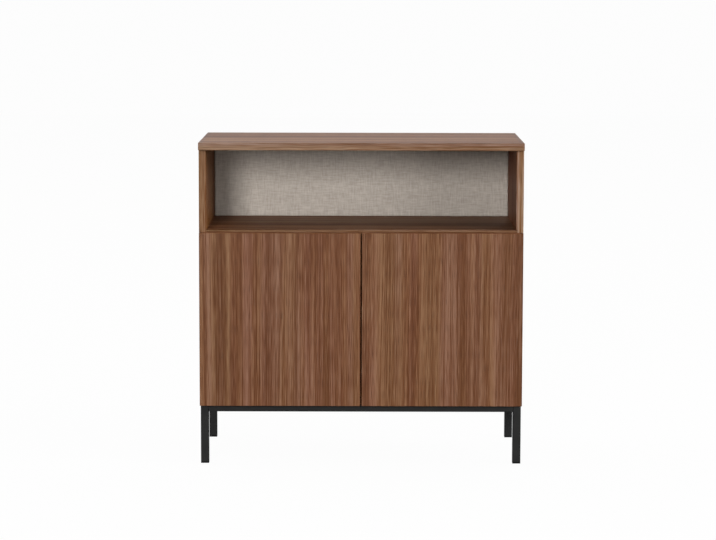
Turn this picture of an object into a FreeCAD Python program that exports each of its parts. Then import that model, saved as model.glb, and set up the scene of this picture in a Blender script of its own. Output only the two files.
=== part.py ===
# Sideboard: a walnut cabinet with a linen-backed niche above two doors, on a black square tube frame.
# The origin is on the floor under the middle of the cabinet. +Z is up and the doors face -Y.
import FreeCAD, Part
import math
import os

# Whole cabinet
overall_width = 800.0
overall_depth = 400.0
overall_height = 800.0

# Carcass boards
board = 18.0
niche_height = 198.0
board_edge_radius = 0.8

# Doors
door_thickness = 18.0
door_back_gap = 3.0
door_side_inset = 1.0
door_middle_gap = 3.5
door_top_reveal = 5.5
door_bottom_lap = 2.0

# Back panels in grooves
back_thickness = 6.0
back_recess = 12.0
groove_depth = 6.0
groove_end_play = 0.5
linen_thickness = 1.0
linen_edge_gap = 0.3

# Tube frame
frame_height = 150.0
tube_width = 20.0
tube_wall = 1.5
tube_corner_radius = 2.0
frame_side_inset = 2.0
frame_front_setback = 22.0
frame_rear_setback = 2.0
glide_height = 4.5
glide_spigot_height = 12.0
glide_spigot_gap = 0.1
tab_length = 30.0
tab_thickness = 3.0

# Screws, all with the same head and shank
screw_shank_radius = 2.0
screw_head_radius = 4.0
screw_head_height = 1.8
screw_recess_width = 1.0
screw_recess_length = 4.4
screw_recess_depth = 0.9
screw_hole_gap = 0.1
frame_screw_length = 14.0
plate_screw_length = 14.0
cup_screw_length = 12.0
latch_screw_length = 13.0

# Concealed hinges: a cup in the door, and an arm on the side panel that turns on a pin in the cup
hinge_end_distance = 80.0
cup_radius = 17.5
cup_edge_distance = 3.0
cup_depth = 13.5
cup_wall = 1.0
cup_floor = 0.9
cup_bore_gap = 0.1
cup_rim_width = 1.5
cup_rim_thickness = 1.0
cup_wing_width = 12.0
cup_wing_overhang = 6.5
cup_screw_spacing = 45.0
cup_screw_offset = 9.5
hinge_pin_radius = 1.5
hinge_pin_edge_distance = 7.5
hinge_pin_depth = 9.5
hinge_pin_running_gap = 0.05
ear_reach = 3.0
ear_side_gap = 0.5
arm_eye_radius = 2.7
arm_thickness = 3.0
arm_neck_width = 8.0
arm_width = 12.0
arm_neck_length = 12.0
arm_reach = 60.0
plate_thickness = 3.5
plate_screw_setback = 37.0
plate_screw_spacing = 32.0
plate_wing_width = 16.0
plate_wing_overhang = 8.0
plate_spine_width = 15.0
plate_spine_length = 46.0
arm_screw_spacing = 24.0
arm_screw_floor = 0.5

# Push latches under the niche shelf
latch_offset = 40.0
latch_width = 14.0
latch_height = 14.0
latch_length = 60.0
latch_front_setback = 1.0
latch_wing_width = 9.0
latch_wing_length = 14.0
latch_wing_thickness = 3.0
latch_wing_setback = 26.0
plunger_radius = 3.0
plunger_running_gap = 0.08
plunger_guided_length = 34.0
plunger_travel = 14.0
plunger_rear_room = 2.0
plunger_tip_radius = 4.5
plunger_tip_gap = 0.3
plunger_tip_thickness = 2.4
strike_radius = 7.0
strike_thickness = 1.0
strike_stud_radius = 1.5
strike_stud_length = 8.0

# Adjustable shelf on four L-shaped pins in rows of holes
shelf_side_gap = 1.0
shelf_front_setback = 20.0
shelf_rear_gap = 2.0
pin_hole_radius = 2.5
pin_hole_depth = 10.0
pin_hole_gap = 0.1
pin_hole_spacing = 32.0
pin_first_hole_height = 128.0
pin_row_margin = 12.0
pin_front_setback = 37.0
pin_rear_setback = 50.0
pin_stem_length = 9.0
pin_flange_thickness = 1.5
pin_flange_width = 10.0
pin_flange_height = 10.0
pin_plate_length = 10.0
pin_plate_thickness = 2.0

# Fittings between the boards
bolt_front_setback = 70.0
bolt_rear_setback = 70.0
bolt_radius = 3.0
bolt_side_depth = 11.0
bolt_panel_depth = 24.0
bolt_hole_gap = 0.1
cam_radius = 7.5
cam_depth = 13.0
cam_gap = 0.1
cam_slot_width = 1.2
cam_slot_length = 9.0
cam_slot_depth = 1.5
dowel_radius = 4.0
dowel_length = 30.0
dowel_shallow_depth = 10.0
dowel_gap = 0.1
dowel_from_bolt = 32.0
top_dowel_count = 4
top_dowel_setback = 50.0

# Cutting tools run this far past the face that they open
cut_overrun = 1.0

# Directions
X = FreeCAD.Vector(1, 0, 0)
Y = FreeCAD.Vector(0, 1, 0)
Z = FreeCAD.Vector(0, 0, 1)

# Places of the carcass
half_width = overall_width / 2
front = -overall_depth / 2
rear = overall_depth / 2
carcass_front = front + door_thickness + door_back_gap
side_inner = half_width - board
bottom_top = frame_height + board
top_underside = overall_height - board
shelf_top = top_underside - niche_height
shelf_underside = shelf_top - board
back_rear = rear - back_recess
back_front = back_rear - back_thickness

# Places of the doors
door_outer = half_width - door_side_inset
door_inner = door_middle_gap / 2
door_back = front + door_thickness
door_top = shelf_top - door_top_reveal
door_bottom = frame_height - door_bottom_lap

# Places of the frame
frame_side = half_width - frame_side_inset
frame_front = front + frame_front_setback
frame_rear = rear - frame_rear_setback
rail_underside = frame_height - tube_width

# Places of a hinge on the left door
hinge_heights = (door_bottom + hinge_end_distance, door_top - hinge_end_distance)
cup_x = -door_outer + cup_edge_distance + cup_radius
pin_x = -door_outer + hinge_pin_edge_distance
pin_y = door_back - hinge_pin_depth
plate_y = carcass_front + plate_screw_setback
plate_face = -side_inner + plate_thickness
arm_inner = plate_face + arm_thickness

# Places of a latch
latch_front = carcass_front + latch_front_setback
latch_z = shelf_underside - latch_height / 2
plunger_length = plunger_guided_length + plunger_travel

# Places of the shelf pins
pin_rows = (carcass_front + pin_front_setback, back_front - pin_rear_setback)
first_pin_hole = bottom_top + pin_first_hole_height
upper_plate_underside = hinge_heights[1] - plate_screw_spacing / 2 - plate_wing_overhang
pin_row_length = upper_plate_underside - board - pin_row_margin - first_pin_hole
pin_hole_count = int(pin_row_length / pin_hole_spacing) + 1
pin_heights = [first_pin_hole + pin_hole_spacing * step for step in range(pin_hole_count)]
pin_height = pin_heights[(pin_hole_count - 1) // 2]
shelf_seat = pin_height + pin_flange_height / 2

# Places of the board fittings
bolt_rows = (carcass_front + bolt_front_setback, back_front - bolt_rear_setback)
dowel_rows = (bolt_rows[0] + dowel_from_bolt, bolt_rows[1] - dowel_from_bolt)
top_dowel_step = (back_front - carcass_front - 2 * top_dowel_setback) / (top_dowel_count - 1)
top_dowel_first = carcass_front + top_dowel_setback
top_dowel_rows = [top_dowel_first + top_dowel_step * step for step in range(top_dowel_count)]


# Shapes used by several pieces

def block(x_from, x_to, y_from, y_to, z_from, z_to):
    corner = FreeCAD.Vector(x_from, y_from, z_from)
    return Part.makeBox(x_to - x_from, y_to - y_from, z_to - z_from, corner)


def rod(x, y, z, direction, radius, length):
    return Part.makeCylinder(radius, length, FreeCAD.Vector(x, y, z), direction)


def runs_along(edge, direction):
    tangent = edge.tangentAt(edge.FirstParameter)
    return math.isclose(abs(tangent.dot(direction)), 1, abs_tol=1e-6)


def edges_along(shape, direction):
    return [edge for edge in shape.Edges if runs_along(edge, direction)]


def eased(shape, radius, directions):
    edges = []
    for direction in directions:
        edges += edges_along(shape, direction)
    return shape.makeFillet(radius, edges)


def mirrored(shape):
    return shape.mirror(FreeCAD.Vector(0, 0, 0), X)


def both_sides(shapes):
    return shapes + [mirrored(shape) for shape in shapes]


def cut_all(shape, tools):
    return shape.cut(Part.makeCompound(tools)) if tools else shape


def save(name, shapes):
    shape = shapes[0] if len(shapes) == 1 else Part.makeCompound(shapes)
    shape.exportStep("parts/" + name + ".step")


# Screws: the head stands outward from a face, and the shank goes the other way

def screw(x, y, z, outward, length):
    body = rod(0, 0, 0, Z, screw_head_radius, screw_head_height)
    body = body.fuse(rod(0, 0, -length, Z, screw_shank_radius, length))
    half_long = screw_recess_length / 2
    half_wide = screw_recess_width / 2
    low = screw_head_height - screw_recess_depth
    high = screw_head_height + cut_overrun
    recess = block(-half_long, half_long, -half_wide, half_wide, low, high)
    recess = recess.fuse(block(-half_wide, half_wide, -half_long, half_long, low, high))
    body = body.cut(recess)
    body.Placement = FreeCAD.Placement(FreeCAD.Vector(x, y, z), FreeCAD.Rotation(Z, outward))
    return body


def screw_hole(x, y, z, outward, length):
    hole = rod(0, 0, -length - screw_hole_gap, Z, screw_shank_radius + screw_hole_gap, length + cut_overrun)
    hole.Placement = FreeCAD.Placement(FreeCAD.Vector(x, y, z), FreeCAD.Rotation(Z, outward))
    return hole


# Where the screws go, each as its head's seat, outward direction and length

def plate_screw_places():
    places = []
    for height in hinge_heights:
        for end in (-1, 1):
            z = height + end * plate_screw_spacing / 2
            places.append((plate_face, plate_y, z, X, plate_screw_length))
    return places


def arm_screw_places():
    length = arm_thickness + plate_thickness - arm_screw_floor
    places = []
    for height in hinge_heights:
        for end in (-1, 1):
            places.append((arm_inner, plate_y + end * arm_screw_spacing / 2, height, X, length))
    return places


def cup_screw_places():
    places = []
    for height in hinge_heights:
        for end in (-1, 1):
            z = height + end * cup_screw_spacing / 2
            places.append((cup_x + cup_screw_offset, door_back + cup_rim_thickness, z, Y, cup_screw_length))
    return places


def latch_screw_places():
    y = latch_front + latch_wing_setback + latch_wing_length / 2
    z = shelf_underside - latch_wing_thickness
    reach = (latch_width + latch_wing_width) / 2
    return [(-latch_offset + end * reach, y, z, -Z, latch_screw_length) for end in (-1, 1)]


def frame_screw_places():
    x = -frame_side + tube_width + tab_length / 2
    near = frame_front + tube_width + tab_length / 2
    far = frame_rear - tube_width - tab_length / 2
    return [(x, y, frame_height - tab_thickness, -Z, frame_screw_length) for y in (near, far)]


# Cams, bolts and dowels at the left end of a shelf-like panel, seen from its mid height

def bolt(y, z):
    length = bolt_side_depth + bolt_panel_depth - cam_radius / 2
    return rod(-side_inner - bolt_side_depth, y, z, X, bolt_radius, length)


def bolt_hole(y, z):
    radius = bolt_radius + bolt_hole_gap
    return rod(-side_inner - bolt_side_depth, y, z, X, radius, bolt_side_depth + bolt_panel_depth)


def cam(y, z):
    x = -side_inner + bolt_panel_depth
    underside = z - board / 2
    body = rod(x, y, underside, Z, cam_radius, cam_depth)
    body = body.cut(rod(x - bolt_panel_depth, y, z, X, bolt_radius + bolt_hole_gap, bolt_panel_depth))
    half_long = cam_slot_length / 2
    half_wide = cam_slot_width / 2
    slot_low = underside - cut_overrun
    slot_high = underside + cam_slot_depth
    return body.cut(block(x - half_long, x + half_long, y - half_wide, y + half_wide, slot_low, slot_high))


def cam_bore(y, z):
    x = -side_inner + bolt_panel_depth
    underside = z - board / 2
    return rod(x, y, underside - cut_overrun, Z, cam_radius + cam_gap, cam_depth + cut_overrun)


def level_dowel(y, z, gap):
    x = -side_inner - dowel_shallow_depth
    return rod(x - gap, y, z, X, dowel_radius + gap, dowel_length + 2 * gap)


def upright_dowel(y, gap):
    x = -side_inner - board / 2
    z = top_underside + dowel_shallow_depth - dowel_length
    return rod(x, y, z - gap, Z, dowel_radius + gap, dowel_length + 2 * gap)


panel_middles = (frame_height + board / 2, shelf_underside + board / 2)


def panel_end_cuts(z):
    cuts = [bolt_hole(y, z) for y in bolt_rows]
    cuts += [cam_bore(y, z) for y in bolt_rows]
    cuts += [level_dowel(y, z, dowel_gap) for y in dowel_rows]
    return cuts


# Back panel grooves

def groove(z_from, z_to):
    reach = side_inner + groove_depth
    return block(-reach, reach, back_front, back_rear, z_from, z_to)


# Carcass boards

def top_panel():
    panel = block(-half_width, half_width, front, rear, top_underside, overall_height)
    panel = eased(panel, board_edge_radius, (X, Y, Z))
    cuts = both_sides([upright_dowel(y, dowel_gap) for y in top_dowel_rows])
    cuts.append(groove(top_underside - cut_overrun, top_underside + groove_depth))
    return cut_all(panel, cuts)


def left_side_panel():
    panel = block(-half_width, -side_inner, carcass_front, rear, frame_height, top_underside)
    panel = eased(panel, board_edge_radius, (Z,))
    cuts = [groove(bottom_top - groove_depth, top_underside + cut_overrun)]
    cuts += [upright_dowel(y, dowel_gap) for y in top_dowel_rows]
    for z in panel_middles:
        cuts += [bolt_hole(y, z) for y in bolt_rows]
        cuts += [level_dowel(y, z, dowel_gap) for y in dowel_rows]
    for y in pin_rows:
        cuts += [rod(-side_inner - pin_hole_depth, y, z, X, pin_hole_radius, pin_hole_depth + cut_overrun)
                 for z in pin_heights]
    cuts += [screw_hole(*place) for place in plate_screw_places()]
    return cut_all(panel, cuts)


def niche_shelf():
    panel = block(-side_inner, side_inner, carcass_front, rear, shelf_underside, shelf_top)
    panel = eased(panel, board_edge_radius, (X,))
    cuts = [groove(shelf_top - groove_depth, shelf_top + cut_overrun)]
    cuts += [groove(shelf_underside - cut_overrun, shelf_underside + groove_depth)]
    cuts += both_sides(panel_end_cuts(panel_middles[1]))
    cuts += both_sides([screw_hole(*place) for place in latch_screw_places()])
    return cut_all(panel, cuts)


def bottom_panel():
    panel = block(-side_inner, side_inner, carcass_front, rear, frame_height, bottom_top)
    panel = eased(panel, board_edge_radius, (X,))
    cuts = [groove(bottom_top - groove_depth, bottom_top + cut_overrun)]
    cuts += both_sides(panel_end_cuts(panel_middles[0]))
    cuts += both_sides([screw_hole(*place) for place in frame_screw_places()])
    return cut_all(panel, cuts)


def back_board(z_from, z_to):
    held = groove_depth - groove_end_play
    reach = side_inner + held
    return block(-reach, reach, back_front, back_rear, z_from - held, z_to + held)


def niche_back_linen():
    reach = side_inner - linen_edge_gap
    low = shelf_top + linen_edge_gap
    high = top_underside - linen_edge_gap
    return block(-reach, reach, back_front - linen_thickness, back_front, low, high)


# Adjustable shelf

def adjustable_shelf():
    reach = side_inner - shelf_side_gap
    near = carcass_front + shelf_front_setback
    far = back_front - shelf_rear_gap
    shelf = block(-reach, reach, near, far, shelf_seat, shelf_seat + board)
    return eased(shelf, board_edge_radius, (X, Y, Z))


def shelf_pin(y):
    wall = -side_inner
    half_wide = pin_flange_width / 2
    low = shelf_seat - pin_flange_height
    plate_low = shelf_seat - pin_plate_thickness
    pin = block(wall, wall + pin_flange_thickness, y - half_wide, y + half_wide, low, shelf_seat)
    pin = pin.fuse(block(wall, wall + pin_plate_length, y - half_wide, y + half_wide, plate_low, shelf_seat))
    stem_radius = pin_hole_radius - pin_hole_gap
    stem = rod(wall - pin_stem_length, y, pin_height, X, stem_radius, pin_stem_length)
    return pin.fuse(stem).removeSplitter()


# Doors

def cup_bore(height):
    radius = cup_radius + cup_bore_gap
    depth = cup_depth + cup_bore_gap
    return rod(cup_x, door_back - depth, height, Y, radius, depth + cut_overrun)


def left_door():
    door = block(-door_outer, -door_inner, front, door_back, door_bottom, door_top)
    door = eased(door, board_edge_radius, (X, Y, Z))
    cuts = [cup_bore(height) for height in hinge_heights]
    cuts += [screw_hole(*place) for place in cup_screw_places()]
    stud_depth = strike_stud_length + screw_hole_gap
    stud_radius = strike_stud_radius + screw_hole_gap
    cuts.append(rod(-latch_offset, door_back - stud_depth, latch_z, Y, stud_radius, stud_depth + cut_overrun))
    return cut_all(door, cuts)


# Hinges of the left door

def pin_half_length():
    middle_of_wall = cup_radius - cup_wall / 2
    farthest = cup_x - pin_x + hinge_pin_radius
    return math.sqrt(middle_of_wall ** 2 - farthest ** 2)


def hinge_pin(height):
    half = pin_half_length()
    return rod(pin_x, pin_y, height - half, Z, hinge_pin_radius, 2 * half)


def cup_ears(height):
    near = arm_neck_width / 2 + ear_side_gap
    ears = block(pin_x - ear_reach, pin_x + ear_reach, door_back - cup_depth, pin_y + ear_reach,
                 height - cup_radius, height + cup_radius)
    ears = ears.cut(block(pin_x - cup_radius, pin_x + cup_radius, front, rear, height - near, height + near))
    return ears.common(rod(cup_x, door_back - cup_depth, height, Y, cup_radius, cup_depth))


def hinge_cup(height):
    rim_face = door_back + cup_rim_thickness
    cup = rod(cup_x, door_back - cup_depth, height, Y, cup_radius, cup_depth)
    cup = cup.fuse(rod(cup_x, door_back, height, Y, cup_radius + cup_rim_width, cup_rim_thickness))
    wing_x = cup_x + cup_screw_offset
    half_wide = cup_wing_width / 2
    half_long = cup_screw_spacing / 2 + cup_wing_overhang
    wings = block(wing_x - half_wide, wing_x + half_wide, door_back, rim_face,
                  height - half_long, height + half_long)
    cup = cup.fuse(eased(wings, half_wide / 2, (Y,)))
    inner_radius = cup_radius - cup_wall
    floor = door_back - cup_depth + cup_floor
    cup = cup.cut(rod(cup_x, floor, height, Y, inner_radius, rim_face - floor + cut_overrun))
    cup = cup.fuse(cup_ears(height)).cut(hinge_pin(height))
    holes = [screw_hole(*place) for place in cup_screw_places()]
    return cut_all(cup, holes).removeSplitter()


def hinge_arm(height):
    half_neck = arm_neck_width / 2
    half_arm = arm_width / 2
    half_thick = arm_thickness / 2
    bend_front = pin_y - half_thick
    neck_end = carcass_front + arm_neck_length
    arm_end = carcass_front + arm_reach
    arm = rod(pin_x, pin_y, height - half_neck, Z, arm_eye_radius, arm_neck_width)
    neck = block(pin_x, arm_inner, bend_front, pin_y + half_thick, height - half_neck, height + half_neck)
    leg = block(plate_face, arm_inner, bend_front, arm_end, height - half_neck, height + half_neck)
    wide_leg = block(plate_face, arm_inner, neck_end, arm_end, height - half_arm, height + half_arm)
    arm = arm.fuse([neck, leg, wide_leg]).removeSplitter()
    bore_radius = hinge_pin_radius + hinge_pin_running_gap
    bore_low = height - half_neck - cut_overrun
    bore = rod(pin_x, pin_y, bore_low, Z, bore_radius, arm_neck_width + 2 * cut_overrun)
    return cut_all(arm, [bore] + [screw_hole(*place) for place in arm_screw_places()])


def hinge_plate(height):
    half_wing = plate_wing_width / 2
    half_tall = plate_screw_spacing / 2 + plate_wing_overhang
    half_spine = plate_spine_width / 2
    half_long = plate_spine_length / 2
    wing = block(-side_inner, plate_face, plate_y - half_wing, plate_y + half_wing,
                 height - half_tall, height + half_tall)
    wing = eased(wing, half_wing / 2, (X,))
    spine = block(-side_inner, plate_face, plate_y - half_long, plate_y + half_long,
                  height - half_spine, height + half_spine)
    plate = wing.fuse(spine).removeSplitter()
    return cut_all(plate, [screw_hole(*place) for place in plate_screw_places() + arm_screw_places()])


# Push latches on the left side of the middle

def latch_housing():
    x = -latch_offset
    half_wide = latch_width / 2
    wing_reach = half_wide + latch_wing_width
    wing_front = latch_front + latch_wing_setback
    housing = block(x - half_wide, x + half_wide, latch_front, latch_front + latch_length,
                    shelf_underside - latch_height, shelf_underside)
    wings = block(x - wing_reach, x + wing_reach, wing_front, wing_front + latch_wing_length,
                  shelf_underside - latch_wing_thickness, shelf_underside)
    housing = housing.fuse(wings).removeSplitter()
    bore_radius = plunger_radius + plunger_running_gap
    stem_end = latch_front + plunger_length + plunger_rear_room
    bore = rod(x, latch_front - cut_overrun, latch_z, Y, bore_radius, stem_end - latch_front + cut_overrun)
    holes = [screw_hole(*place) for place in latch_screw_places()]
    return cut_all(housing, [bore] + holes)


def latch_plunger():
    x = -latch_offset
    tip_face = door_back + strike_thickness + plunger_tip_gap
    tip = rod(x, tip_face, latch_z, Y, plunger_tip_radius, plunger_tip_thickness)
    stem = rod(x, tip_face, latch_z, Y, plunger_radius, plunger_length)
    return tip.fuse(stem).removeSplitter()


def strike_plate():
    x = -latch_offset
    plate = rod(x, door_back, latch_z, Y, strike_radius, strike_thickness)
    stud = rod(x, door_back - strike_stud_length, latch_z, Y, strike_stud_radius, strike_stud_length)
    return plate.fuse(stud).removeSplitter()


# Tube frame

def square_tube(low, high, direction, closed_end):
    outer = block(low.x, high.x, low.y, high.y, low.z, high.z)
    outer = eased(outer, tube_corner_radius, (direction,))
    across = FreeCAD.Vector(1, 1, 1) - direction
    inset = across * tube_wall
    inner_low = low + inset
    inner_high = high - inset - direction * closed_end
    inner = block(inner_low.x, inner_high.x, inner_low.y, inner_high.y, inner_low.z, inner_high.z)
    inner = eased(inner, tube_corner_radius - tube_wall, (direction,))
    return outer.cut(inner)


def left_leg(y_from):
    low = FreeCAD.Vector(-frame_side, y_from, glide_height)
    high = FreeCAD.Vector(-frame_side + tube_width, y_from + tube_width, frame_height)
    return square_tube(low, high, Z, tube_wall)


def left_glide(y_from):
    x_to = -frame_side + tube_width
    y_to = y_from + tube_width
    pad = eased(block(-frame_side, x_to, y_from, y_to, 0, glide_height), tube_corner_radius, (Z,))
    inset = tube_wall + glide_spigot_gap
    spigot_top = glide_height + glide_spigot_height
    spigot = block(-frame_side + inset, x_to - inset, y_from + inset, y_to - inset, glide_height, spigot_top)
    return pad.fuse(eased(spigot, tube_corner_radius - tube_wall, (Z,)))


def cross_rail(y_from):
    reach = frame_side - tube_width
    low = FreeCAD.Vector(-reach, y_from, rail_underside)
    high = FreeCAD.Vector(reach, y_from + tube_width, frame_height)
    return square_tube(low, high, X, 0)


def left_rail():
    low = FreeCAD.Vector(-frame_side, frame_front + tube_width, rail_underside)
    high = FreeCAD.Vector(-frame_side + tube_width, frame_rear - tube_width, frame_height)
    return square_tube(low, high, Y, 0)


def left_tabs():
    x_from = -frame_side + tube_width
    low = frame_height - tab_thickness
    near = frame_front + tube_width
    far = frame_rear - tube_width
    tabs = [block(x_from, x_from + tab_length, near, near + tab_length, low, frame_height),
            block(x_from, x_from + tab_length, far - tab_length, far, low, frame_height)]
    return [cut_all(tab, [screw_hole(*place) for place in frame_screw_places()]) for tab in tabs]


# Every piece is written under its own name

os.makedirs("parts", exist_ok=True)

save("top_panel", [top_panel()])
save("left_side_panel", [left_side_panel()])
save("right_side_panel", [mirrored(left_side_panel())])
save("niche_shelf", [niche_shelf()])
save("bottom_panel", [bottom_panel()])
save("niche_back_board", [back_board(shelf_top, top_underside)])
save("niche_back_linen", [niche_back_linen()])
save("cupboard_back_board", [back_board(bottom_top, shelf_underside)])
save("adjustable_shelf", [adjustable_shelf()])
save("shelf_pins", both_sides([shelf_pin(y) for y in pin_rows]))

save("cam_bolts", both_sides([bolt(y, z) for y in bolt_rows for z in panel_middles]))
save("cam_locks", both_sides([cam(y, z) for y in bolt_rows for z in panel_middles]))
level_dowels = [level_dowel(y, z, 0) for y in dowel_rows for z in panel_middles]
upright_dowels = [upright_dowel(y, 0) for y in top_dowel_rows]
save("board_dowels", both_sides(level_dowels + upright_dowels))

save("left_door", [left_door()])
save("right_door", [mirrored(left_door())])
for level, height in zip(("lower", "upper"), hinge_heights):
    for piece, make in (("cup", hinge_cup), ("pin", hinge_pin), ("arm", hinge_arm), ("plate", hinge_plate)):
        shape = make(height)
        save("left_" + level + "_hinge_" + piece, [shape])
        save("right_" + level + "_hinge_" + piece, [mirrored(shape)])
cup_screws = [screw(*place) for place in cup_screw_places()]
save("left_cup_screws", cup_screws)
save("right_cup_screws", [mirrored(shape) for shape in cup_screws])
save("hinge_plate_screws", both_sides([screw(*place) for place in plate_screw_places()]))
save("hinge_arm_screws", both_sides([screw(*place) for place in arm_screw_places()]))

latch_pieces = (("latch_housing", latch_housing), ("latch_plunger", latch_plunger), ("strike_plate", strike_plate))
for piece, make in latch_pieces:
    shape = make()
    save("left_" + piece, [shape])
    save("right_" + piece, [mirrored(shape)])
save("latch_screws", both_sides([screw(*place) for place in latch_screw_places()]))

for row, y_from in (("front", frame_front), ("rear", frame_rear - tube_width)):
    save(row + "_rail", [cross_rail(y_from)])
    save(row + "_left_leg", [left_leg(y_from)])
    save(row + "_right_leg", [mirrored(left_leg(y_from))])
    save(row + "_left_glide", [left_glide(y_from)])
    save(row + "_right_glide", [mirrored(left_glide(y_from))])
save("left_rail", [left_rail()])
save("right_rail", [mirrored(left_rail())])
save("frame_tabs", both_sides(left_tabs()))
save("frame_screws", both_sides([screw(*place) for place in frame_screw_places()]))
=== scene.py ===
import math

import bmesh
import bpy
from mathutils import Matrix, Vector


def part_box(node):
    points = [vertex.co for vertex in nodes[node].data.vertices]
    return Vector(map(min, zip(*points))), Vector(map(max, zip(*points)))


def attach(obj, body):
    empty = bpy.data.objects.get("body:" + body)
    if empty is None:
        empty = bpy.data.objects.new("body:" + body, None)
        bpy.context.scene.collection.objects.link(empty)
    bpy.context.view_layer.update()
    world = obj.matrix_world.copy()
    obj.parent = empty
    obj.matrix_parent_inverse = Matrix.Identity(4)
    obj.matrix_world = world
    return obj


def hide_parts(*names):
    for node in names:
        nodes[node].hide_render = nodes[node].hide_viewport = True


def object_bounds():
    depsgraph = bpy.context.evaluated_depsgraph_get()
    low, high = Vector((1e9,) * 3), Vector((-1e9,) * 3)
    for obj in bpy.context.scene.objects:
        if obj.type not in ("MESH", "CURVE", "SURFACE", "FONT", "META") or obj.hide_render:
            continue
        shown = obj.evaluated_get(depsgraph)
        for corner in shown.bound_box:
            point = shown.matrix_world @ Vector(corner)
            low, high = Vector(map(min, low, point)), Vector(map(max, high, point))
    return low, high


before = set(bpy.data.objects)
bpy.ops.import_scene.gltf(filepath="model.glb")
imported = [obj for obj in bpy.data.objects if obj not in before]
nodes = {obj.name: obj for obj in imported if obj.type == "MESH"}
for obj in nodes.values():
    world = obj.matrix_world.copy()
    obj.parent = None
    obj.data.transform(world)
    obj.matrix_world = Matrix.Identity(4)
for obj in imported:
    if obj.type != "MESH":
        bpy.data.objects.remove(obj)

cad_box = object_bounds()
X, Y, Z = range(3)

# Camera, in pixels, metres and radians, as fitted to the edges of the cabinet in the photograph
IMAGE_WIDTH_PX = 716
FOCAL_LENGTH_PX = 2535.2
VIEW_CENTRE_OFFSET_PX = 3.12
SENSOR_WIDTH_MM = 36.0
CAMERA_HEIGHT = 1.2242
CAMERA_TO_DOORS = 6.196
CAMERA_PITCH_DOWN = 0.11832
CAMERA_ROLL = 0.00225

# Studio: a light level is the brightness that a white face turned to that light alone would have
BACKDROP_LEVEL = 0.98
ROOM_LEVEL_AHEAD = 0.0
ROOM_LEVEL_BEHIND = 1.37
# The room's level changes between these shares of the direction towards the rear
ROOM_AHEAD_SHARE = -0.3
ROOM_BEHIND_SHARE = 0.5
FLOOR_SIZE = 30.0
FLOOR_GLOW = 0.965
FLOOR_LIGHT = 0.2
FLOOR_WHITENESS = 0.02
LIGHT_DISTANCE = 12.0
# Each soft light: its level, and the azimuths and elevations that it covers as the niche sees it, in degrees
SOFTBOXES = {"key_light": (0.75, (-17.0, -6.4), (3.0, 17.0)),
             "side_light": (0.31, (28.0, 47.0), (-5.0, 12.0)),
             "low_side_light": (0.17, (47.0, 70.0), (8.0, 20.0)),
             "high_side_light": (0.3, (44.0, 80.0), (12.0, 46.0)),
             "right_light": (0.9, (68.0, 88.0), (-2.0, 22.0)),
             "left_light": (0.5, (-115.0, -85.0), (5.0, 30.0)),
             "overhead_light": (0.17, (-30.0, 30.0), (60.0, 110.0))}


def srgb(red, green, blue):
    """A colour given as the eye sees it, from 0 to 255, as the linear colour that shaders use."""
    def linear(level):
        share = level / 255
        return share / 12.92 if share <= 0.04045 else ((share + 0.055) / 1.055) ** 2.4
    return (linear(red), linear(green), linear(blue), 1.0)


class Graph:
    """One material's node tree, with a short call for each kind of node that the materials share."""

    def __init__(self, name):
        self.material = bpy.data.materials.new(name)
        self.material.use_nodes = True
        self.tree = self.material.node_tree
        self.shader = self.tree.nodes["Principled BSDF"]

    def add(self, kind, **settings):
        node = self.tree.nodes.new(kind)
        for name, value in settings.items():
            setattr(node, name, value)
        return node

    def put(self, socket, value):
        """Links an output to the socket, or sets the socket to a value."""
        if isinstance(value, bpy.types.NodeSocket):
            self.tree.links.new(value, socket)
        else:
            socket.default_value = value

    def set_shader(self, **values):
        for name, value in values.items():
            self.put(self.shader.inputs[name.replace("_", " ")], value)

    def place(self, shift=(0.0, 0.0, 0.0)):
        """The point on the object, in metres, moved by a shift."""
        return self.vector("ADD", self.add("ShaderNodeTexCoord").outputs["Object"], shift)

    def normal(self):
        return self.add("ShaderNodeTexCoord").outputs["Normal"]

    def number(self, operation, first, second=0.0, third=0.0):
        node = self.add("ShaderNodeMath", operation=operation)
        for socket, value in zip(node.inputs, (first, second, third)):
            self.put(socket, value)
        return node.outputs[0]

    def vector(self, operation, first, second):
        node = self.add("ShaderNodeVectorMath", operation=operation)
        self.put(node.inputs[0], first)
        self.put(node.inputs[1], second)
        return node.outputs[0]

    def split(self, vector):
        node = self.add("ShaderNodeSeparateXYZ")
        self.put(node.inputs[0], vector)
        return tuple(node.outputs)

    def join(self, x, y, z):
        node = self.add("ShaderNodeCombineXYZ")
        for socket, value in zip(node.inputs, (x, y, z)):
            self.put(socket, value)
        return node.outputs[0]

    def noise(self, vector, detail):
        node = self.add("ShaderNodeTexNoise")
        self.put(node.inputs["Vector"], vector)
        self.put(node.inputs["Scale"], 1.0)
        self.put(node.inputs["Detail"], detail)
        return node.outputs["Fac"]

    def ramp(self, value, *stops):
        """Colours or levels between (position, colour) stops."""
        node = self.add("ShaderNodeValToRGB")
        self.put(node.inputs["Fac"], value)
        elements = node.color_ramp.elements
        while len(elements) < len(stops):
            elements.new(1.0)
        for element, (position, colour) in zip(elements, stops):
            element.position = position
            element.color = colour if hasattr(colour, "__len__") else (colour, colour, colour, 1.0)
        return node.outputs["Color"]

    def blend(self, first, second, share, mode="MIX"):
        """Two colours mixed. The node's colour sockets follow those that it has for numbers and vectors."""
        node = self.add("ShaderNodeMix", data_type="RGBA", blend_type=mode)
        share_socket, first_socket, second_socket = (node.inputs[i] for i in (0, 6, 7))
        self.put(share_socket, share)
        self.put(first_socket, first)
        self.put(second_socket, second)
        return node.outputs[2]

    def bump(self, height, distance, strength):
        node = self.add("ShaderNodeBump")
        self.put(node.inputs["Height"], height)
        self.put(node.inputs["Distance"], distance)
        self.put(node.inputs["Strength"], strength)
        self.put(self.shader.inputs["Normal"], node.outputs[0])


# Walnut veneer. Grain coordinates are two across the grain and one along it, in metres.

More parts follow.
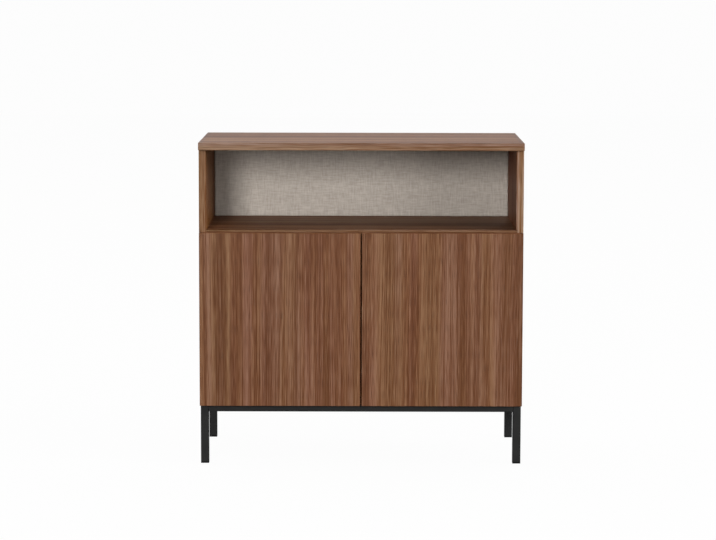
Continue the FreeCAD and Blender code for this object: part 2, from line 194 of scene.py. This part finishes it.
GRAIN_AXES = {"X": (Y, Z, X), "Y": (X, Z, Y), "Z": (X, Y, Z)}
END_EDGE_RUNS = {"X": "Y", "Z": "X"}
# A face counts as turned along an axis when its normal has more than this share along it
TURNED_SHARE = 0.6
# A tone multiplies the veneer's colour, and this one leaves it as it is
PLAIN = (1.0, 1.0, 1.0)
# What lies less than this far in from the left or right end of the cabinet is outside
OUTSIDE_DEPTH = 0.01
# How far a board's piece of veneer moves in each direction per step of its seed
SEED_SHIFT = (1.37, 0.71, 2.13)
# The grain wanders sideways by up to half of this width, with these repeats per metre across and along it
DRIFT_WIDTH = 0.015
DRIFT_SCALES = (4.0, 1.5)
# Each layer of the figure: repeats per metre across the grain, repeats per metre along it, and its share
FIGURE_LAYERS = ((13.0, 0.5, 0.95), (34.0, 0.7, 1.2), (75.0, 1.0, 0.75), (150.0, 1.5, 0.85),
                 (290.0, 2.4, 1.2), (560.0, 4.5, 2.1), (900.0, 20.0, 2.3))
FIGURE_MIDDLE = 0.5
FIGURE_CONTRAST = 0.49
FIGURE_COLOURS = ((0.1, srgb(78, 41, 13)), (FIGURE_MIDDLE, srgb(98, 61, 37)), (0.9, srgb(120, 86, 63)))
# The broad layers, up to so many repeats per metre, are stronger on what lies flat
BROAD_SCALE = 80.0
FLAT_BOOST = 2.2
# Each drift of hue: repeats per metre across and along the grain, and the colour's factors at either end
HUE_LAYERS = (((24.0, 0.6), (1.02, 0.99, 1.0), (0.98, 1.01, 1.0)),
              ((44.0, 0.8), (1.0, 1.0, 0.89), (1.0, 1.0, 1.11)))
HUE_STOPS = (0.36, 0.64)
# Pores: repeats per metre across and along the grain, how dark they get over which levels,
# and how much of that shows
PORE_SCALES = (1500.0, 30.0)
PORE_STOPS = ((0.60, 1.0), (0.70, 0.5))
PORE_STRENGTH = 0.6
# Roughness of the lacquer over the middle of the figure, and how much smoother pale grain is than dark grain
LACQUER_ROUGHNESS = 0.5
ROUGHNESS_DROP = 0.04
# The lacquered surface follows the pores, and this share of the figure
RELIEF_DEPTH = 0.0002
RELIEF_STRENGTH = 0.35
FIGURE_RELIEF_SHARE = 0.5


def turned_along(graph, axis):
    """1 where a face is turned along the axis or against it, and 0 elsewhere."""
    share = graph.number("ABSOLUTE", graph.split(graph.normal())[axis])
    return graph.number("GREATER_THAN", share, TURNED_SHARE)


def outside_face(graph):
    """1 on the left and right outsides of the cabinet, and 0 elsewhere."""
    distance = graph.number("ABSOLUTE", graph.split(graph.place())[X])
    return graph.number("GREATER_THAN", distance, cad_box[1][X] - OUTSIDE_DEPTH)


def grain_place(graph, runs, shift):
    """Grain coordinates for a board whose faces run along one axis and whose end edges run along another."""
    point = graph.split(graph.place(shift))
    face_axes = GRAIN_AXES[runs]
    end_axes = GRAIN_AXES[END_EDGE_RUNS[runs]]
    on_end = turned_along(graph, face_axes[2])
    on_face = graph.number("SUBTRACT", 1.0, on_end)
    picked = []
    for face_axis, end_axis in zip(face_axes, end_axes):
        end_part = graph.number("MULTIPLY", point[end_axis], on_end)
        picked.append(graph.number("MULTIPLY_ADD", point[face_axis], on_face, end_part))
    return picked


def grain_noise(graph, grain, across_scale, along_scale):
    """Noise drawn out along the grain, which swings evenly to both sides of zero."""
    across, across_other, along = grain
    vector = graph.join(graph.number("MULTIPLY", across, across_scale),
                        graph.number("MULTIPLY", across_other, across_scale),
                        graph.number("MULTIPLY", along, along_scale))
    return graph.number("SUBTRACT", graph.noise(vector, detail=0.0), 0.5)


def walnut(name, runs, seed, gloss, face_tint_and_painted_light, front_tint_and_painted_light):
    """Straight-grained walnut under lacquer: stripes of every width down to hairs, and short dark pores.

    What a board turns to the front and rear has a tone of its own, and the outer sides have none. On most
    boards these tones are painted light, shade and sheen, set face by face to how light falls on them."""
    graph = Graph(name)
    grain = grain_place(graph, runs, [seed * step for step in SEED_SHIFT])
    drift = grain_noise(graph, grain, *DRIFT_SCALES)
    grain[0] = graph.number("MULTIPLY_ADD", drift, DRIFT_WIDTH, grain[0])
    boost = graph.number("MULTIPLY_ADD", turned_along(graph, Z), FLAT_BOOST - 1.0, 1.0)
    figure = FIGURE_MIDDLE
    for across_scale, along_scale, share in FIGURE_LAYERS:
        strength = share * FIGURE_CONTRAST
        if across_scale < BROAD_SCALE:
            strength = graph.number("MULTIPLY", boost, strength)
        layer = grain_noise(graph, grain, across_scale, along_scale)
        figure = graph.number("MULTIPLY_ADD", layer, strength, figure)
    colour = graph.ramp(figure, *FIGURE_COLOURS)
    for scales, warm, cool in HUE_LAYERS:
        hue = graph.number("ADD", grain_noise(graph, grain, *scales), 0.5)
        tint = graph.ramp(hue, (HUE_STOPS[0], (*warm, 1.0)), (HUE_STOPS[1], (*cool, 1.0)))
        colour = graph.blend(colour, tint, 1.0, "MULTIPLY")
    # Painted light and shade: the board's tones lighten or darken its inner faces and edges as light falls
    # on them, and the outer sides keep the veneer's colour
    tint_and_painted_light = graph.blend((*face_tint_and_painted_light, 1.0), (*PLAIN, 1.0), outside_face(graph))
    tint_and_painted_light = graph.blend(tint_and_painted_light, (*front_tint_and_painted_light, 1.0), turned_along(graph, Y))
    colour = graph.blend(colour, tint_and_painted_light, 1.0, "MULTIPLY")
    pores = grain_noise(graph, grain, *PORE_SCALES)
    pore_marks = graph.ramp(graph.number("ADD", pores, 0.5), *PORE_STOPS)
    colour = graph.blend(colour, pore_marks, PORE_STRENGTH, "MULTIPLY")
    roughness = graph.number("MULTIPLY_ADD", figure, -ROUGHNESS_DROP,
                             LACQUER_ROUGHNESS + ROUGHNESS_DROP * FIGURE_MIDDLE)
    graph.set_shader(Base_Color=colour, Roughness=roughness, Specular_IOR_Level=gloss)
    figure_relief = graph.number("MULTIPLY", figure, FIGURE_RELIEF_SHARE)
    graph.bump(graph.number("SUBTRACT", figure_relief, pores), RELIEF_DEPTH, RELIEF_STRENGTH)
    return graph.material


# Linen: slubby threads both ways in a plain weave

# Where the pattern starts, and the distance between neighbouring threads
LINEN_SHIFT = (3.1, 0.0, 1.7)
LINEN_THREAD_PITCH = 0.0011
# Slubs, coarse and fine: repeats per metre across a thread, repeats per metre along it, and their share
LINEN_SLUBS = ((260.0, 32.0, 0.3), (900.0, 60.0, 0.2))
LINEN_COLOURS = ((0.38, srgb(162, 153, 143)), (0.50, srgb(178, 169, 159)), (0.62, srgb(193, 185, 175)))
# How dark it gets between the threads, and how much that shows
LINEN_GAP_STOPS = ((0.0, 0.72), (0.35, 1.0))
LINEN_GAP_STRENGTH = 0.6
# Slubs raise the surface this many times as much as the weave does
LINEN_SLUB_HEIGHT = 1.2
LINEN_RELIEF_DEPTH = 0.0004
LINEN_RELIEF_STRENGTH = 0.7


def linen():
    graph = Graph("linen_weave")
    x, _, z = graph.split(graph.place(LINEN_SHIFT))
    slubs = 0.0
    for across_scale, along_scale, share in LINEN_SLUBS:
        for across, along in ((x, z), (z, x)):
            thread = graph.join(graph.number("MULTIPLY", across, across_scale),
                                graph.number("MULTIPLY", along, along_scale), 0.0)
            slubs = graph.number("MULTIPLY_ADD", graph.noise(thread, detail=2.0), share, slubs)
    turns = math.pi / LINEN_THREAD_PITCH
    warp = graph.number("SINE", graph.number("MULTIPLY", x, turns))
    weft = graph.number("SINE", graph.number("MULTIPLY", z, turns))
    weave = graph.number("ABSOLUTE", graph.number("MULTIPLY", warp, weft))
    colour = graph.blend(graph.ramp(slubs, *LINEN_COLOURS), graph.ramp(weave, *LINEN_GAP_STOPS),
                         LINEN_GAP_STRENGTH, "MULTIPLY")
    graph.set_shader(Base_Color=colour, Roughness=0.92, Specular_IOR_Level=0.2,
                     Sheen_Weight=0.15, Sheen_Roughness=0.5)
    height = graph.number("MULTIPLY_ADD", slubs, LINEN_SLUB_HEIGHT, weave)
    graph.bump(height, LINEN_RELIEF_DEPTH, LINEN_RELIEF_STRENGTH)
    return graph.material


# Metals, plastics and beech

SPECKLE_STOPS = (0.35, 0.65)
SPECKLES_PER_CLOUD = 60
SPECKLE_ROUGHNESS_SPREAD = 0.14
SPECKLE_RELIEF_STRENGTH = 0.5
BEECH_FLECKS_PER_METRE = 400.0
BEECH_COLOURS = ((0.4, srgb(190, 150, 108)), (0.6, srgb(212, 176, 134)))
BEECH_RELIEF_DEPTH = 0.0001
BEECH_RELIEF_STRENGTH = 0.3


def speckled(name, dark, pale, per_metre, roughness, relief, metallic=0.0, specular=0.5):
    """A plain finish whose colour, gloss and surface vary a little, as coating or moulding leaves them."""
    graph = Graph(name)
    grain = graph.noise(graph.vector("MULTIPLY", graph.place(), (per_metre,) * 3), detail=3.0)
    clouds_per_metre = per_metre / SPECKLES_PER_CLOUD
    cloud = graph.noise(graph.vector("MULTIPLY", graph.place(), (clouds_per_metre,) * 3), detail=2.0)
    mixed = graph.number("MULTIPLY_ADD", cloud, 0.5, graph.number("MULTIPLY", grain, 0.5))
    colour = graph.ramp(mixed, (SPECKLE_STOPS[0], dark), (SPECKLE_STOPS[1], pale))
    varied = graph.number("MULTIPLY_ADD", grain, SPECKLE_ROUGHNESS_SPREAD,
                          roughness - SPECKLE_ROUGHNESS_SPREAD / 2)
    graph.set_shader(Base_Color=colour, Roughness=varied, Metallic=metallic, Specular_IOR_Level=specular)
    graph.bump(grain, relief, SPECKLE_RELIEF_STRENGTH)
    return graph.material


def beech():
    graph = Graph("turned_beech")
    fleck = graph.noise(graph.vector("MULTIPLY", graph.place(), (BEECH_FLECKS_PER_METRE,) * 3), detail=2.0)
    graph.set_shader(Base_Color=graph.ramp(fleck, *BEECH_COLOURS), Roughness=0.7)
    graph.bump(fleck, BEECH_RELIEF_DEPTH, BEECH_RELIEF_STRENGTH)
    return graph.material


# Every piece of the frame gets its finish

def paint(material, names):
    for name in names:
        slots = nodes[name].data.materials
        slots.clear()
        slots.append(material)


def ending(*endings):
    return [name for name in nodes if name.endswith(endings)]


# How much light the lacquer mirrors
SATIN = 0.14
MATT = 0.06
NICHE_MATT = 0.04
# More tones that multiply the veneer's colour: an even darker tint for the back boards, and a painted
# highlight for the doors' edges
DULL = (0.74, 0.72, 0.70)
# Painted highlight: the doors' edges made paler, as where light catches them
PAINTED_EDGE_HIGHLIGHT = (1.8, 1.8, 1.8)
# Each walnut board: its seed, the axis that its grain follows, its gloss, its tone, and its tone on what it
# turns to the front and rear. That is an edge of a shelf or side and the face of a door or back, so a door's
# first tone is that of its edges. The tones of the top, the sides, the shelf and the doors are painted
# light,
# shade and sheen: inner faces and edges made lighter, darker, warmer or paler as light falls on them. The
# back boards' tone is an even darker tint of their own.
BOARDS = {"top_panel": (251, "X", SATIN, (1.20, 1.12, 0.86), (1.15, 1.41, 1.76)),
          "left_side_panel": (242, "Z", MATT, (0.89, 0.82, 0.49), (1.02, 1.17, 1.06)),
          "right_side_panel": (363, "Z", MATT, (1.36, 1.07, 0.87), (1.37, 1.78, 2.45)),
          "niche_shelf": (434, "X", NICHE_MATT, (1.26, 1.28, 1.18), (0.86, 0.95, 0.98)),
          "bottom_panel": (5, "X", SATIN, PLAIN, PLAIN),
          "adjustable_shelf": (6, "X", SATIN, PLAIN, PLAIN),
          "left_door": (507, "Z", SATIN, PAINTED_EDGE_HIGHLIGHT, PLAIN),
          "right_door": (408, "Z", SATIN, PAINTED_EDGE_HIGHLIGHT, PLAIN),
          "niche_back_board": (9, "Z", MATT, DULL, DULL),
          "cupboard_back_board": (10, "Z", MATT, DULL, DULL)}
for board, (seed, runs, gloss, face_tint_and_painted_light, front_tint_and_painted_light) in BOARDS.items():
    paint(walnut("walnut_" + board, runs, seed, gloss, face_tint_and_painted_light, front_tint_and_painted_light), [board])

black_steel = speckled("black_powder_coat", srgb(21, 21, 21), srgb(31, 31, 30),
                       per_metre=1600.0, roughness=0.55, relief=0.0001, specular=0.12)
paint(black_steel, ending("_rail", "_leg", "frame_tabs"))
paint(speckled("black_moulded_plastic", srgb(12, 12, 12), srgb(19, 19, 19),
               per_metre=1100.0, roughness=0.7, relief=0.00005, specular=0.1),
      ending("_glide"))
paint(speckled("grey_moulded_plastic", srgb(128, 129, 130), srgb(146, 147, 148),
               per_metre=1100.0, roughness=0.55, relief=0.00005),
      ending("latch_housing", "latch_plunger"))
paint(speckled("zinc_plate", srgb(150, 152, 156), srgb(186, 188, 190),
               per_metre=1500.0, roughness=0.35, relief=0.00003, metallic=1.0),
      ending("screws", "cam_locks", "cam_bolts", "shelf_pins", "strike_plate"))
paint(speckled("nickel_plate", srgb(178, 174, 166), srgb(204, 200, 192),
               per_metre=1500.0, roughness=0.26, relief=0.00002, metallic=1.0),
      ending("hinge_cup", "hinge_pin", "hinge_arm", "hinge_plate"))
paint(beech(), ["board_dowels"])


# The linen is a thin cloth stretched over the board, with its edges rolled back

LINEN_CELL = 0.004
LINEN_EDGE_ROLL = 0.0005


def linen_sheet():
    low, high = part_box("niche_back_linen")
    width = high[X] - low[X]
    height = high[Z] - low[Z]
    columns = round(width / LINEN_CELL)
    rows = round(height / LINEN_CELL)
    mesh = bmesh.new()
    for side in (low[Y], high[Y]):
        for row in range(rows + 1):
            for column in range(columns + 1):
                at_edge = row in (0, rows) or column in (0, columns)
                rolled = LINEN_EDGE_ROLL if at_edge and side == low[Y] else 0.0
                x = low[X] + width * column / columns
                z = low[Z] + height * row / rows
                mesh.verts.new((x, side + rolled, z))
    mesh.verts.ensure_lookup_table()
    layer = (columns + 1) * (rows + 1)

    def vertex(side, row, column):
        return mesh.verts[side * layer + row * (columns + 1) + column]

    for row in range(rows):
        for column in range(columns):
            corners = ((row, column), (row, column + 1), (row + 1, column + 1), (row + 1, column))
            mesh.faces.new([vertex(0, *corner) for corner in corners])
            mesh.faces.new([vertex(1, *corner) for corner in reversed(corners)])
    rim = [(0, column) for column in range(columns)] + [(row, columns) for row in range(rows)]
    rim += [(rows, column) for column in range(columns, 0, -1)] + [(row, 0) for row in range(rows, 0, -1)]
    for here, there in zip(rim, rim[1:] + rim[:1]):
        mesh.faces.new((vertex(0, *there), vertex(0, *here), vertex(1, *here), vertex(1, *there)))
    data = bpy.data.meshes.new("linen_back")
    mesh.to_mesh(data)
    mesh.free()
    sheet = bpy.data.objects.new("linen_back", data)
    bpy.context.scene.collection.objects.link(sheet)
    data.materials.append(linen())
    for face in data.polygons:
        face.use_smooth = True
    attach(sheet, "carcass")
    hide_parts("niche_back_linen")


linen_sheet()


# Weld beads where the rails meet the legs, on the faces that turn inward and down

WELD_RADIUS = 0.0011
WELD_STEP = 0.0009
# A bead narrows by twice this share of its radius and widens again over every four steps
WELD_RIPPLE_SHARE = 0.18
# A bead stops this far below the top of the rail, and this far short of the frame's outer face
WELD_TOP_GAP = 0.004
WELD_END_GAP = 0.002


def weld_bead(name, points):
    curve = bpy.data.curves.new(name, "CURVE")
    curve.dimensions = "3D"
    curve.bevel_depth = WELD_RADIUS
    curve.bevel_resolution = 2
    curve.use_fill_caps = True
    steps = []
    for start, end in zip(points, points[1:]):
        count = round((end - start).length / WELD_STEP)
        steps += [start.lerp(end, step / count) for step in range(count)]
    steps.append(points[-1])
    spline = curve.splines.new("POLY")
    spline.points.add(len(steps) - 1)
    for index, (point, step) in enumerate(zip(spline.points, steps)):
        point.co = (*step, 1.0)
        point.radius = 1.0 - WELD_RIPPLE_SHARE * (1.0 - math.cos(index * math.pi / 2))
    bead = bpy.data.objects.new(name, curve)
    bpy.context.scene.collection.objects.link(bead)
    curve.materials.append(black_steel)
    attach(bead, "carcass")


def frame_welds():
    for side, x_sign in (("left", -1), ("right", 1)):
        for row, y_sign in (("front", -1), ("rear", 1)):
            leg_low, leg_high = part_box(row + "_" + side + "_leg")
            rail_low, rail_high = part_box(row + "_rail")
            inner_x = leg_high[X] if x_sign < 0 else leg_low[X]
            inner_y = leg_high[Y] if y_sign < 0 else leg_low[Y]
            outer_x = leg_low[X] if x_sign < 0 else leg_high[X]
            outer_y = leg_low[Y] if y_sign < 0 else leg_high[Y]
            top = rail_high[Z] - WELD_TOP_GAP
            bottom = rail_low[Z]
            corner = Vector((inner_x, inner_y, bottom))
            weld_bead("weld_" + row + "_" + side + "_cross_rail", [
                Vector((inner_x, inner_y, top)), corner,
                Vector((inner_x, outer_y - y_sign * WELD_END_GAP, bottom))])
            weld_bead("weld_" + row + "_" + side + "_side_rail", [
                corner, Vector((outer_x - x_sign * WELD_END_GAP, inner_y, bottom))])


frame_welds()


# Studio: pale floor, white backdrop, and soft lights ahead, to the right, to the left and overhead

def studio_floor():
    """A white floor, brighter to the camera than the light that it gives, and unseen from below."""
    data = bpy.data.meshes.new("studio_floor")
    half = FLOOR_SIZE / 2
    corners = [(-half, -half, 0), (half, -half, 0), (half, half, 0), (-half, half, 0)]
    data.from_pydata(corners, [], [(0, 1, 2, 3)])
    floor = bpy.data.objects.new("studio_floor", data)
    bpy.context.scene.collection.objects.link(floor)
    graph = Graph("pale_floor")
    seen = graph.add("ShaderNodeLightPath").outputs["Is Camera Ray"]
    glow = graph.number("MULTIPLY_ADD", seen, FLOOR_GLOW - FLOOR_LIGHT, FLOOR_LIGHT)
    from_above = graph.number("SUBTRACT", 1.0, graph.add("ShaderNodeNewGeometry").outputs["Backfacing"])
    graph.set_shader(Base_Color=(FLOOR_WHITENESS,) * 3 + (1.0,), Roughness=1.0, Specular_IOR_Level=0.0,
                     Emission_Color=(1.0, 1.0, 1.0, 1.0), Emission_Strength=glow, Alpha=from_above)
    data.materials.append(graph.material)


def studio_surroundings():
    """The camera sees a white backdrop on all sides, and the room lights the cabinet mostly from behind."""
    world = bpy.data.worlds.new("studio_surroundings")
    world.use_nodes = True
    tree = world.node_tree
    backdrop = tree.nodes["Background"]
    backdrop.inputs["Color"].default_value = (1.0, 1.0, 1.0, 1.0)
    backdrop.inputs["Strength"].default_value = BACKDROP_LEVEL
    parts = tree.nodes.new("ShaderNodeSeparateXYZ")
    tree.links.new(tree.nodes.new("ShaderNodeTexCoord").outputs["Generated"], parts.inputs[0])
    level = tree.nodes.new("ShaderNodeMapRange")
    level.interpolation_type = "SMOOTHSTEP"
    tree.links.new(parts.outputs["Y"], level.inputs["Value"])
    for name, value in (("From Min", ROOM_AHEAD_SHARE), ("From Max", ROOM_BEHIND_SHARE),
                        ("To Min", ROOM_LEVEL_AHEAD), ("To Max", ROOM_LEVEL_BEHIND)):
        level.inputs[name].default_value = value
    room = tree.nodes.new("ShaderNodeBackground")
    tree.links.new(level.outputs["Result"], room.inputs["Strength"])
    mix = tree.nodes.new("ShaderNodeMixShader")
    tree.links.new(tree.nodes.new("ShaderNodeLightPath").outputs["Is Camera Ray"], mix.inputs[0])
    tree.links.new(room.outputs[0], mix.inputs[1])
    tree.links.new(backdrop.outputs[0], mix.inputs[2])
    tree.links.new(mix.outputs[0], tree.nodes["World Output"].inputs["Surface"])
    bpy.context.scene.world = world


def softbox(name, level, azimuths, elevations):
    """A light that covers these angles as seen from the niche, in degrees; azimuth 0 is straight ahead."""
    low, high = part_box("niche_back_linen")
    target = Vector([(a + b) / 2 for a, b in zip(low, high)])
    azimuth = math.radians(sum(azimuths) / 2)
    elevation = math.radians(sum(elevations) / 2)
    direction = Vector((math.sin(azimuth) * math.cos(elevation), -math.cos(azimuth) * math.cos(elevation),
                        math.sin(elevation)))
    light = bpy.data.lights.new(name, "AREA")
    light.shape = "RECTANGLE"
    light.size = 2 * LIGHT_DISTANCE * math.tan(math.radians(azimuths[1] - azimuths[0]) / 2)
    light.size_y = 2 * LIGHT_DISTANCE * math.tan(math.radians(elevations[1] - elevations[0]) / 2)
    light.energy = level * math.pi ** 2 * LIGHT_DISTANCE ** 2
    lamp = bpy.data.objects.new(name, light)
    lamp.location = target + direction * LIGHT_DISTANCE
    lamp.rotation_euler = direction.to_track_quat("Z", "Y").to_euler()
    lamp.visible_camera = False
    bpy.context.scene.collection.objects.link(lamp)


def photo_camera():
    data = bpy.data.cameras.new("camera")
    data.lens = FOCAL_LENGTH_PX * SENSOR_WIDTH_MM / IMAGE_WIDTH_PX
    data.sensor_width = SENSOR_WIDTH_MM
    data.shift_x = -VIEW_CENTRE_OFFSET_PX / IMAGE_WIDTH_PX
    camera = bpy.data.objects.new("camera", data)
    door_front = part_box("left_door")[0][Y]
    place = Matrix.Translation((0.0, door_front - CAMERA_TO_DOORS, CAMERA_HEIGHT))
    tilt = Matrix.Rotation(math.pi / 2 - CAMERA_PITCH_DOWN, 4, "X")
    camera.matrix_world = place @ tilt @ Matrix.Rotation(CAMERA_ROLL, 4, "Z")
    bpy.context.scene.collection.objects.link(camera)
    bpy.context.scene.camera = camera


studio_floor()
studio_surroundings()
for light_name, (level, azimuths, elevations) in SOFTBOXES.items():
    softbox(light_name, level, azimuths, elevations)
photo_camera()
bpy.context.scene.view_settings.view_transform = "Standard"
